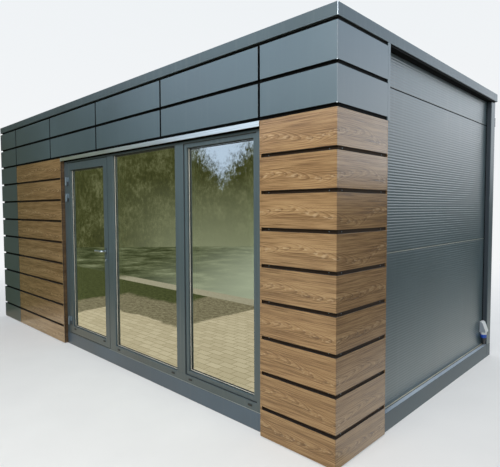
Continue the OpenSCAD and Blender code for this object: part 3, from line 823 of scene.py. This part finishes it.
def glazing_parts(name, node, body="cabin"):
    """The black seals of a glass unit, with a pale lip of its bead between those in front on both
    sides and at the foot as painted light, left out at the shaded top, and the spacer inside its
    edge."""
    low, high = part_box(node)
    rim, lip, seal = 0.005, 0.0035, 0.007          # widths, from the edge of the glass inwards
    rim_out, lip_out, out = 0.0105, 0.009, 0.004   # how far they stand out of the glass
    edge = 0.0004                                  # gap between them and the glass
    x0, x1, foot, top = low.x + rim, high.x - rim, low.z + rim, high.z - rim
    front_y, back_y = low.y - edge, high.y + edge
    # The pale lip is painted light on the lit sides and foot of the bead
    bead = [block((a, low.y - lip_out, foot), (b, front_y, z))
            for a, b, z in ((x0, x0 + lip, top), (x1 - lip, x1, top), (x0, x1, foot + lip))]
    make(name + "_bead", bead, 0.0009, PALE_LIT_EDGE, "frame_paint", body)
    seals = [ring((low.x, low.y - rim_out, low.z), (high.x, front_y, high.z), rim),
             ring((low.x, low.y - out, low.z), (high.x, front_y, high.z), seal, rim + lip),
             ring((low.x, back_y, low.z), (high.x, high.y + out, high.z), rim + lip + seal)]
    make(name + "_seals", seals, BOARD_EDGE, RUBBER_AND_SHADE, "frame_paint", body)
    pane, width, inset = 0.005, 0.016, 0.003
    spacer = ring((low.x, low.y + pane, low.z), (high.x, high.y - pane, high.z), width, inset)
    make(name + "_spacer", [spacer], FINE_EDGE, SATIN, "bare_metal", body)


def drain_caps():
    """Small dark covers over the drain slots, two below each light and two on the door leaf."""
    sill_low, sill_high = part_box("frame_sill")
    sill_z = (sill_low.z + sill_high.z) / 2
    leaf_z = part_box("door_leaf")[0].z + 0.055
    half_w, half_h, out, corner = 0.021, 0.0075, 0.006, 0.007
    for name, body, ends in (
            ("sill_drain_caps", "cabin", (("fixed_glass", 0.06, sill_z),
                                          ("sash_frame", 0.07, sill_z))),
            ("door_drain_caps", "door", (("door_leaf", 0.12, leaf_z),))):
        caps = []
        for node, inset, z in ends:
            low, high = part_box(node)
            for x in (low.x + inset, high.x - inset):
                cap = block((x - half_w, FRAME_Y - out, z - half_h),
                            (x + half_w, FRAME_Y, z + half_h))
                pick(cap, "edge", lambda middle, run: abs(run.y) > 0.001)
                bpy.ops.mesh.bevel(offset=corner, segments=4)
                caps.append(done(cap))
        make(name, caps, BOARD_EDGE, RUBBER_AND_SHADE, "frame_paint", body)


def glaze():
    """The window frames, the leaf, the glass units and the seals and strips round them."""
    rounded("frame_head frame_sill frame_jamb_left frame_jamb_right mullion_door"
            " mullion_window sash_frame", STEEL, "frame_paint", FRAME_EDGE)
    rounded("door_leaf", STEEL, "frame_paint", FRAME_EDGE, "door")
    rounded("drip_strip", BARE, "bare_metal", 0.0008)
    rounded("threshold", STEEL, "bare_metal", FRAME_EDGE)
    glazing_parts("fixed_light", "fixed_glass")
    glazing_parts("sash_light", "sash_glass")
    glazing_parts("door_light", "door_glass", "door")
    low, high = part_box("sash_frame")
    seam = ring((low.x, FRAME_Y + 0.0045, low.z), (high.x, low.y - 0.0002, high.z), 0.005)
    make("sash_seam_seal", [seam], FINE_EDGE, RUBBER_AND_SHADE, "frame_paint")
    # Bright line at the foot of the fixed and the opening light
    line = block((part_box("mullion_door")[0].x, FRAME_Y - 0.0015, BASE_TOP + 0.002),
                 (OPEN_RIGHT, FRAME_Y + 0.010, BASE_TOP + 0.005))
    make("sill_line", [line], 0.0005, SATIN, "bare_metal")
    # Dark lining on the frame's side of the gap round the leaf: painted shade in the gap
    low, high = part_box("door_leaf")
    jamb_w, thick = 0.075, 0.0010
    gap = low.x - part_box("frame_jamb_left")[0].x - jamb_w
    gap_shade_ring = ring((low.x, FRAME_Y + 0.003, low.z), (high.x, high.y - 0.004, high.z), thick, -gap)
    make("leaf_gap_shade", [gap_shade_ring], 0.0003, RUBBER_AND_SHADE, "frame_paint")
    # Black strip behind and below the drip strip: painted shade under the drip
    low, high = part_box("drip_strip")
    inset, below, thick = 0.002, 0.007, 0.003
    back = high.x - inset, FRAME_Y, high.z - 0.0034
    make("drip_shade_strip", [block((low.x + inset, low.y + 0.004, high.z - 0.010), back),
                       block((low.x + inset, FRAME_Y - thick, low.z - below), back)],
         0.0008, BLACK_SEAL_AND_SHADE, "frame_paint")
    drain_caps()


def hinges():
    """Three block hinges, the upper two close together, held by screws, with a dark block over the
    lower half of each leaf plate as painted shade."""
    rounded("hinges_frame_side", HINGE, "frame_paint", BOARD_EDGE)
    rounded("hinges_leaf_side", HINGE, "frame_paint", BOARD_EDGE, "door")
    low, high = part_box("hinges_frame_side")
    heights = low.z + HINGE_H / 2, high.z - HINGE_PAIR - HINGE_H / 2, high.z - HINGE_H / 2
    face_y, leaf_x = FRAME_Y - HINGE_T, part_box("hinges_leaf_side")[1].x
    shade_w, shade_out, round_edge = 0.025, 0.0024, 0.0008
    # Dark blocks on the lower half of the leaf plates: painted shade
    caps = [block((leaf_x - shade_w, face_y - shade_out, z - HINGE_H / 2),
                  (leaf_x + round_edge, face_y + 0.003, z - 0.004)) for z in heights]
    make("hinge_shade_blocks", caps, FINE_EDGE, BLACK_PA_AND_SHADE, "frame_paint", "door")
    inset, above, head, radius = 0.012, 0.033, 0.0016, 0.0048
    for name, body, x in (("frame_hinge_screws", "cabin", low.x + inset),
                          ("leaf_hinge_screws", "door", leaf_x - inset)):
        heads = [rod((x, face_y, z + above), (x, face_y - head, z + above), radius, 16)
                 for z in heights]
        make(name, heads, 0.0006, SATIN, "handle_metal", body)


def lever():
    """A round bent lever on each face of the leaf, each with its neck in a rose."""
    low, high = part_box("door_lever")
    leaf_low, leaf_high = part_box("door_leaf")
    radius, bend, collar_r, collar_t, steps = 0.0092, 0.020, 0.0125, 0.005, 8
    x, z = high.x - (high.z - low.z) / 2, (low.z + high.z) / 2
    parts = []
    for way, start_y, centre_y in ((-1, leaf_low.y, low.y + radius),
                                   (1, leaf_high.y, high.y - radius)):
        turn_y = centre_y - way * bend
        turns = [math.pi / 2 * step / steps for step in range(steps + 1)]
        arc = [(x - bend + bend * math.cos(turn), turn_y + way * bend * math.sin(turn), z)
               for turn in turns]
        parts.append(bent_bar([(x, start_y, z), *arc, (low.x + 0.002, centre_y, z)], radius))
        parts.append(rod((x, start_y + way * ROSE_T, z),
                         (x, start_y + way * (ROSE_T + collar_t), z), collar_r))
    make("lever_bars", parts, 0.0028, SATIN, "handle_metal", "lever", ["door_lever"],
         segments=3, angle=40.0)


def locks():
    """Roses and lock plates, with a bright profile cylinder that has a dark keyway."""
    low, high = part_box("door_lock_plates")
    x, z = (low.x + high.x) / 2, low.z + LOCK_H / 2
    rounded("door_lock_plates", PLATE, "handle_metal", 0.0020, "door")
    barrel_r, body_w, body_foot, key_w = 0.0089, 0.0096, 0.0155, 0.0018
    bright, dark = [], []
    for way, face_y in ((-1, low.y), (1, high.y)):
        back_y, front_y = face_y - way * 0.010, face_y + way * 0.0008
        bright += [rod((x, back_y, z), (x, front_y, z), barrel_r),
                   block((x - body_w / 2, back_y, z - body_foot),
                         (x + body_w / 2, front_y, z - 0.002))]
        dark.append(block((x - key_w / 2, face_y, z - 0.0055),
                          (x + key_w / 2, front_y + way * 0.0002, z + 0.0045)))
    make("lock_cylinders", bright, 0.0007, BRIGHT, "handle_metal", "door")
    make("keyways", dark, 0.0002, RUBBER_AND_SHADE, "handle_metal", "door")


# ---------- steel frame and roof ----------

def steel():
    """The base rails, the corner posts and the roof trim, with their edges rounded."""
    rounded("base_rail_front", BASE, "base_paint", STEEL_EDGE)
    # The side and rear rails take the darker copy of the base paint: painted shade
    rounded("base_rail_rear base_rail_left base_rail_right", SHADED_BASE, "base_paint", STEEL_EDGE)
    rounded("post_front_left post_front_right post_rear_left post_rear_right", STEEL,
            "frame_paint", STEEL_EDGE)
    rounded("roof_trim_front roof_trim_rear roof_trim_left roof_trim_right", STEEL,
            "frame_paint", BOARD_EDGE)


def wall_seals():
    """Black seals in the corners of the walls and in their upper joint, black strips under the roof
    as painted shade under the trim, a pale lip on the lower joint as painted light on its top, and
    a dark sheet on the front face of each rear post as painted shade in its recess."""
    wall_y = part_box("right_wall")[1].y          # rear end of the side walls
    low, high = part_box("rear_wall")
    sink = 0.004                                # how deep the seals reach into a wall
    out, joint_out, lip_out = 0.006, 0.0006, 0.0022
    side_w, under_roof, rear_reach = 0.010, 0.016, 0.055
    eaves, inner, back_y, end_y = ROOF_Z - under_roof, WALL_X - sink, high.y - sink, wall_y - side_w
    joint = HIGH_JOINT - JOINT_W / 2, HIGH_JOINT + JOINT_W / 2
    lip = LOW_JOINT - 0.003, LOW_JOINT + 0.0005
    # The strips at eaves height are painted shade under the roof trim; the rest are seals in the
    # corners and joints
    black = [block((low.x, back_y, eaves), (high.x, high.y + rear_reach, ROOF_Z)),
             block((low.x, back_y, joint[0]), (high.x, high.y + joint_out, joint[1]))]
    lit_lips = [block((low.x + side_w, back_y, lip[0]), (high.x - side_w, high.y + lip_out, lip[1]))]
    shade_sheets = []
    for side in SIDES:
        black += [block((side * inner, end_y, BASE_TOP), (side * (WALL_X + out), wall_y, ROOF_Z)),
                  block((side * inner, RETURN_Y, eaves),
                        (side * (STEEL_X + side_w), high.y, ROOF_Z)),
                  block((side * (high.x - side_w), back_y, BASE_TOP),
                        (side * high.x, high.y + out, ROOF_Z)),
                  block((side * inner, RETURN_Y, joint[0]),
                        (side * (WALL_X + joint_out), end_y, joint[1]))]
        lit_lips.append(block((side * inner, RETURN_Y, lip[0]),
                          (side * (WALL_X + lip_out), end_y, lip[1])))
        # A dark sheet on the front face of each rear post: painted shade in the recess
        shade_sheets.append(block((side * (WALL_X + out), wall_y - 0.0025, BASE_TOP),
                              (side * (STEEL_X - 0.005), wall_y, eaves)))
    make("post_face_shade_sheets", shade_sheets, 0.0008, POST_SHADE, "frame_paint")
    make("black_seals_and_eaves_shade", black, 0.0002, BLACK_SEAL_AND_SHADE, "wall_panel")
    make("lit_joint_lips", lit_lips, 0.0005, PALE_LIT_EDGE, "wall_panel")


def roof_details():
    """Bright rods at the mitres of the roof trim as painted highlights on its corner edges, and the
    laps of the roof sheets and the ceiling.
    """
    sink = 0.0006
    rear_y, top_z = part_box("roof_trim_rear")[1].y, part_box("roof_trim_front")[1].z
    # Thin bright rods at the corners: painted highlights along the mitred edges
    highlight_rods = [rod((side * (CORNER_X - sink), y, ROOF_Z),
                 (side * (CORNER_X - sink), y, top_z - sink), 0.0014, 12)
             for side in SIDES for y in (FACE_Y + sink, rear_y - sink)]
    make("mitre_highlights", highlight_rods, 0.0004, BARE, "bare_metal")
    low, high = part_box("roof_panel")
    half_w, inset, rise = 0.018, 0.069, 0.0022
    laps = [block((x - half_w, low.y + inset, high.z - 0.002),
                  (x + half_w, high.y - inset, high.z + rise))
            for x in (-2.4, -1.44, -0.48, 0.48, 1.44, 2.4)]
    make("roof_laps", laps, 0.0015, ROOF, "roof_sheet")
    low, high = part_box("ceiling")
    half_w, drop = 0.022, 0.0016
    strips = [block((x - half_w, low.y, low.z - drop), (x + half_w, high.y, low.z + 0.002))
              for x in (-2.3, -1.15, 0.0, 1.15, 2.3)]
    make("ceiling_strips", strips, 0.0008, CEILING, "ceiling_white")


def inlet():
    """The power inlet: a hood with a sunk grey panel on each side, a dark plate behind it as
    painted shade, a blue ring with grips, and a black cap with ribs."""
    low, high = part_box("power_inlet_hood")
    ring_low, ring_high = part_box("power_inlet_ring")
    cap_low, cap_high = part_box("power_inlet_cap")
    rim, sunk = 0.011, 0.003
    hood = shape_of("power_inlet_hood")
    pick(hood, "face", lambda middle, normal: abs(normal.y) > 0.9
         and min(middle.y - low.y, high.y - middle.y) < 0.001)
    bpy.ops.mesh.inset(thickness=rim, depth=-sunk)
    hood = make("inlet_hood", [done(hood)], 0.0025, WHITE_ABS, "inlet_white",
                replaces=["power_inlet_hood"], segments=3)
    hood.data.materials.append(GREY_ABS)
    for face in hood.data.polygons:
        depth = min(face.center.y - low.y, high.y - face.center.y)
        face.material_index = int(0.001 < depth < sunk + 0.001 and abs(face.normal.y) > 0.9)

    axis = Vector(((ring_low.x + ring_high.x) / 2, (ring_low.y + ring_high.y) / 2, 0.0))

    def ribs(count, box_low, box_high, z0, z1):
        """Upright ribs round a round part."""
        radius, half_w, sink, out = (box_high.x - box_low.x) / 2, 0.002, 0.002, 0.0014
        made = []
        for turn in range(count):
            made.append(block((radius - sink, -half_w, z0), (radius + out, half_w, z1)))
            made[-1].location = axis
            made[-1].rotation_euler = (0.0, 0.0, math.tau * turn / count)
            apply_place(made[-1])
        return made

    make("inlet_ring", [shape_of("power_inlet_ring"),
                        *ribs(16, ring_low, ring_high, ring_low.z + 0.004, ring_high.z - 0.006)],
         FINE_EDGE, BLUE_PA, "inlet_blue", replaces=["power_inlet_ring"])
    make("inlet_cap", [shape_of("power_inlet_cap"),
                       *ribs(12, cap_low, cap_high, cap_high.z - 0.026, cap_high.z - 0.003)],
         FINE_EDGE, BLACK_PA_AND_SHADE, "inlet_black", replaces=["power_inlet_cap"])
    # A dark plate that shows round the hood as painted shade behind it, and a round plug below it
    border, plug_r = 0.006, 0.012
    middle_y, plug_z = (low.y + high.y) / 2, low.z + plug_r
    plate = [block((WALL_X, low.y - border, low.z + 0.030),
                   (WALL_X + 0.004, high.y + border, high.z + 0.008)),
             rod((WALL_X, middle_y, plug_z), (WALL_X + 0.008, middle_y, plug_z), plug_r)]
    make("inlet_shade_plate", plate, 0.0015, RUBBER_AND_SHADE, "inlet_black")


def outlet():
    """The small dark box at the rear corner, with a raised lid and its screws."""
    low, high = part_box("rear_outlet_box")
    rim, raised, inset, head, radius = 0.005, 0.002, 0.011, 0.0015, 0.003
    box = shape_of("rear_outlet_box")
    pick(box, "face", lambda middle, normal: normal.y > 0.9)
    bpy.ops.mesh.inset(thickness=rim, depth=raised)
    done(box)
    screws = [rod((x, high.y + 0.001, z), (x, high.y + raised + head, z), radius, 12)
              for x in (low.x + inset, high.x - inset) for z in (low.z + inset, high.z - inset)]
    make("outlet_box", [box, *screws], BOARD_EDGE, BLACK_PA_AND_SHADE, "inlet_black",
         replaces=["rear_outlet_box"])


# ---------- the set ----------

ONLY_GLOSS = ("camera", "diffuse", "transmission", "shadow")     # rays that pass by a mirrored card


def on_set(name, material, unseen_by):
    """Names the thing just added, gives it its material, and hides it from some kinds of ray."""
    thing = join(name, [bpy.context.active_object])
    apply_place(thing)
    thing.data.materials.append(material)
    for ray in unseen_by:
        setattr(thing, "visible_" + ray, False)


def ground(name, height, material, unseen_by):
    """A wide level plane of the set."""
    deselect()
    bpy.ops.mesh.primitive_plane_add(size=120.0, location=(0.0, 0.0, height))
    on_set(name, material, unseen_by)


def card(name, place, size, turn, material, unseen_by=ONLY_GLOSS):
    """An upright card of the set."""
    deselect()
    bpy.ops.mesh.primitive_plane_add(size=1.0, location=place,
                                     rotation=(math.radians(90.0), 0.0, math.radians(turn)))
    bpy.context.active_object.scale = (*size, 1.0)
    on_set(name, material, unseen_by)


def dome(name, radius, material, unseen_by):
    """A sphere of the set, round everything."""
    deselect()
    bpy.ops.mesh.primitive_uv_sphere_add(segments=32, ring_count=16, radius=radius)
    on_set(name, material, unseen_by)


def glowing(name):
    """A new material that only glows, with its tree, its place and its glow."""
    material, tree, shader, place = begin(name)
    tree.nodes.remove(shader)
    glow = add(tree, "Emission")
    surface(glow)
    return material, tree, place, glow


def dull(name, scale, detail, stops, rough=1.0):
    """A new dull material with a slow change of tone, with its tree, shader and place."""
    material, tree, shader, place = begin(name)
    speck = add(tree, "TexNoise", {"Vector": place, "Scale": scale, "Detail": detail})
    connect(shader, {"Base Color": add(tree, "ValToRGB", [speck], stops), "Roughness": rough})
    return material, tree, shader, place


def glow_by_height(name, low, high, stops, strength=1.0):
    """A material that only glows, with colours that follow the height."""
    material, tree, place, glow = glowing(name)
    height = add(tree, "SeparateXYZ", [place]).outputs["Z"]
    share = add(tree, "MapRange", [height, low, high])
    connect(glow, [add(tree, "ValToRGB", [share], stops), strength])
    return material


def studio_floor():
    """A plain pale floor, which the camera sees and the cabin shades, and the ground under it,
    which throws less light back on the undersides."""
    material, tree, shader, place = dull("pale_floor", 2.0, 4.0,
                                         [(0.3, "#e2e3e2"), (0.7, "#e8e9e8")], 0.9)
    # Far from the cabin it blends into a glow of the wall's even tone
    reach = add(tree, "VectorMath LENGTH", [place])
    swept = add(tree, "MapRange SMOOTHSTEP", [reach, 2.0, 11.0, 0.35, 1.0])
    wall = add(tree, "Emission", {"Color": linear("#f6f7f8")})
    surface(add(tree, "MixShader", [swept, shader, wall]))
    ground("studio_floor", -0.001, material, ("diffuse", "glossy", "shadow"))
    material = dull("dull_ground", 1.0, 4.0, [(0.3, "#8f8a7c"), (0.7, "#a8a294")])[0]
    ground("dull_ground", -0.003, material, ("camera", "glossy"))


def backdrop():
    """The pale studio wall, which only the camera sees."""
    material = glow_by_height("pale_backdrop", 0.0, 30.0, [(0.0, "#f6f7f8"), (1.0, "#eef2f5")])
    dome("backdrop", 57.0, material, ("glossy", "diffuse", "transmission", "shadow"))


def left_shade():
    """Dark planting close to the left end, out of view, which keeps light off that end."""
    material = dull("dark_planting", 3.0, 6.0, [(0.4, "#151d22"), (0.6, "#29353e")])[0]
    card("left_shade", (-4.8, -3.9, 4.5), (8.0, 9.0), -60.0, material, ("camera", "glossy"))


def mirrored_yard():
    """What glass and paint mirror in front of the cabin: paving, a bed of gravel and grass, a
    path and a lawn under haze, with plain ground beside and behind the cabin."""
    material, tree, place, glow = glowing("paving_and_grass")
    grit = add(tree, "TexNoise", {"Vector": place, "Scale": 16.0, "Detail": 8.0,
                                  "Roughness": 0.75})
    grass, gravel, gritty_path = (
        add(tree, "ValToRGB", [grit], [(0.36, dark), (0.64, light)])
        for dark, light in (("#3d452b", "#6a7049"), ("#6c6450", "#b0a88e"), ("#b3ad99", "#cbc5b2")))
    axis = add(tree, "SeparateXYZ", [place]).outputs
    x, y = axis["X"], axis["Y"]
    ragged = add(tree, "TexNoise", {"Vector": place, "Scale": 1.6, "Detail": 6.0})
    edge_x = add(tree, "Math MULTIPLY_ADD", [ragged, 0.4, x])
    edge_y = add(tree, "Math MULTIPLY_ADD", [ragged, 0.4, y])
    from_x = add(tree, "Math ADD", [edge_x, 2.25])
    from_y = add(tree, "Math ADD", [edge_y, 2.65])
    corner = add(tree, "Math MINIMUM", [from_x, from_y])
    across = add(tree, "Math SUBTRACT", [x, y])
    # Where each ground starts, measured along one of these, and the share it has there
    bed_y, bed_x, paving_y, paving_x, path_y, path_x, haze, lawn_y, front_y = (
        add(tree, "MapRange SMOOTHSTEP", [value, start, end])
        for value, start, end in (
            (corner, -0.95, -0.75), (edge_x, -1.75, -1.55), (corner, -0.03, 0.03),
            (edge_x, -0.34, -0.26), (y, -4.50, -4.54), (x, -5.8, -4.9), (across, -1.0, 5.0),
            (y, -4.88, -4.92), (y, -1.5, -1.2)))
    # A bed of gravel 0.8 m wide round the paving, then grass, and a path 4.5 m away
    stony = add(tree, "Math MAXIMUM", [bed_y, bed_x])
    bed = add(tree, "Mix RGBA", [stony, grass, gravel])
    stone = add(tree, "TexBrick", {
        "Vector": place, "Color1": linear("#e9dcc2"), "Color2": linear("#d9ccb1"),
        "Mortar": linear("#beb195"), "Scale": 1.0, "Mortar Size": 0.006, "Brick Width": 0.20,
        "Row Height": 0.10})
    paved = add(tree, "Math MAXIMUM", [paving_y, paving_x])
    near = add(tree, "Mix RGBA", [paved, bed, stone])
    path = add(tree, "Math MULTIPLY", [path_y, path_x])
    with_path = add(tree, "Mix RGBA", [path, near, gritty_path])
    # A lawn beyond it, with haze on its right
    nearer = add(tree, "MapRange", [x, -9.0, -2.3, 0.30, 0.86])
    tufts = add(tree, "TexNoise", {"Vector": place, "Scale": 1.1, "Detail": 9.0, "Roughness": 0.7})
    uneven = add(tree, "ValToRGB", [tufts],
                 [(0.40, "#434a30"), (0.52, "#666d50"), (0.66, "#9ba184")])
    hazy = add(tree, "Math MULTIPLY", [haze, nearer])
    lawn = add(tree, "Mix RGBA", [hazy, uneven, linear("#d0dac6")])
    ahead = add(tree, "Mix RGBA", [lawn_y, with_path, lawn])
    # Grey ground behind the cabin, and pale paving along its right side
    share = add(tree, "MapRange", [x, 2.0, 9.0])
    aside = add(tree, "ValToRGB", [share], [(0.11, "#a4a7a8"), (0.13, "#e8e9e4"),
                                            (0.22, "#d6d8d5"), (0.38, "#484e4d")])
    yard = add(tree, "Mix RGBA", [front_y, ahead, aside])
    connect(glow, {"Color": yard, "Strength": 1.5})
    ground("mirrored_yard", -0.005, material, ONLY_GLOSS)


def hedge():
    """A hedge on the left that gloss mirrors, with haze over its far end low down, and the sky
    open above it and between two crowns."""
    material, tree, place, glow = glowing("hedge")
    axis = add(tree, "SeparateXYZ", [place]).outputs
    upright = add(tree, "Mapping", {"Vector": place, "Scale": (1.0, 1.0, 0.55)})
    leaves = add(tree, "TexNoise", {"Vector": upright, "Scale": 9.0, "Detail": 14.0,
                                    "Roughness": 0.8})
    clump = add(tree, "TexNoise", {"Vector": place, "Scale": 1.6, "Detail": 5.0})
    both = add(tree, "Math MULTIPLY_ADD", [clump, 0.45, leaves])
    tone = add(tree, "ValToRGB", [both],
               [(0.52, "#474b2f"), (0.72, "#63673f"), (0.92, "#a0a37c")])
    aside = add(tree, "MapRange SMOOTHSTEP", [axis["X"], -14.0, -10.2])
    low = add(tree, "MapRange", [axis["Z"], -0.3, 3.0, 0.95, 0.0])
    share = add(tree, "Math MULTIPLY", [aside, low])
    hazy = add(tree, "Mix RGBA", [share, tone, linear("#c1c8a8")])
    # The crowns are ragged, so sky shows through their edges
    from_gap = add(tree, "Math ADD", [axis["X"], 9.85])
    away = add(tree, "Math ABSOLUTE", [from_gap])
    crown = add(tree, "Math MULTIPLY_ADD", [away, -1.5, axis["Z"]])
    ragged_crown = add(tree, "Math MULTIPLY_ADD", [leaves, 5.5, crown])
    clear = add(tree, "MapRange", [ragged_crown, 5.4, 6.3])
    seen = add(tree, "Mix RGBA", [clear, hazy, (1.10, 1.36, 1.90, 1.0)])
    connect(glow, [seen])
    taller = add(tree, "MapRange", [axis["X"], -14.5, -11.0, -8.0, 0.0])
    height = add(tree, "Math ADD", [axis["Z"], taller])
    top = add(tree, "MapRange", [height, 4.9, 6.0])
    surface(add(tree, "MixShader", [top, glow, add(tree, "BsdfTransparent")]))
    card("hedge", (-11.0, -11.0, 6.5), (34.0, 13.0), -45.0, material)


def trees_and_sky():
    """The dark trees and the bright sky that gloss mirrors."""
    material, tree, place, glow = glowing("trees_on_the_right")
    leaves = add(tree, "TexNoise", {"Vector": place, "Scale": 2.0, "Detail": 8.0})
    connect(glow, [add(tree, "ValToRGB", [leaves], [(0.4, "#1b2514"), (0.6, "#2d3a22")])])
    card("trees_on_the_right", (11.0, 19.0, 1.5), (30.0, 3.1), -25.0, material)
    material = glow_by_height("bright_sky", 4.0, 24.0,
                              [(0.0, "#fbfdff"), (0.5, "#e6eef5"), (1.0, "#afc2d5")], 2.7)
    dome("bright_sky", 55.0, material, ONLY_GLOSS)


place_camera()
studio_light()
studio_floor()
backdrop()
left_shade()
mirrored_yard()
hedge()
trees_and_sky()
dress_nodes()
clad()
walls()
glaze()
hinges()
lever()
locks()
rounded("sash_handle", SATIN, "handle_metal", 0.0030)
steel()
wall_seals()
roof_details()
inlet()
outlet()
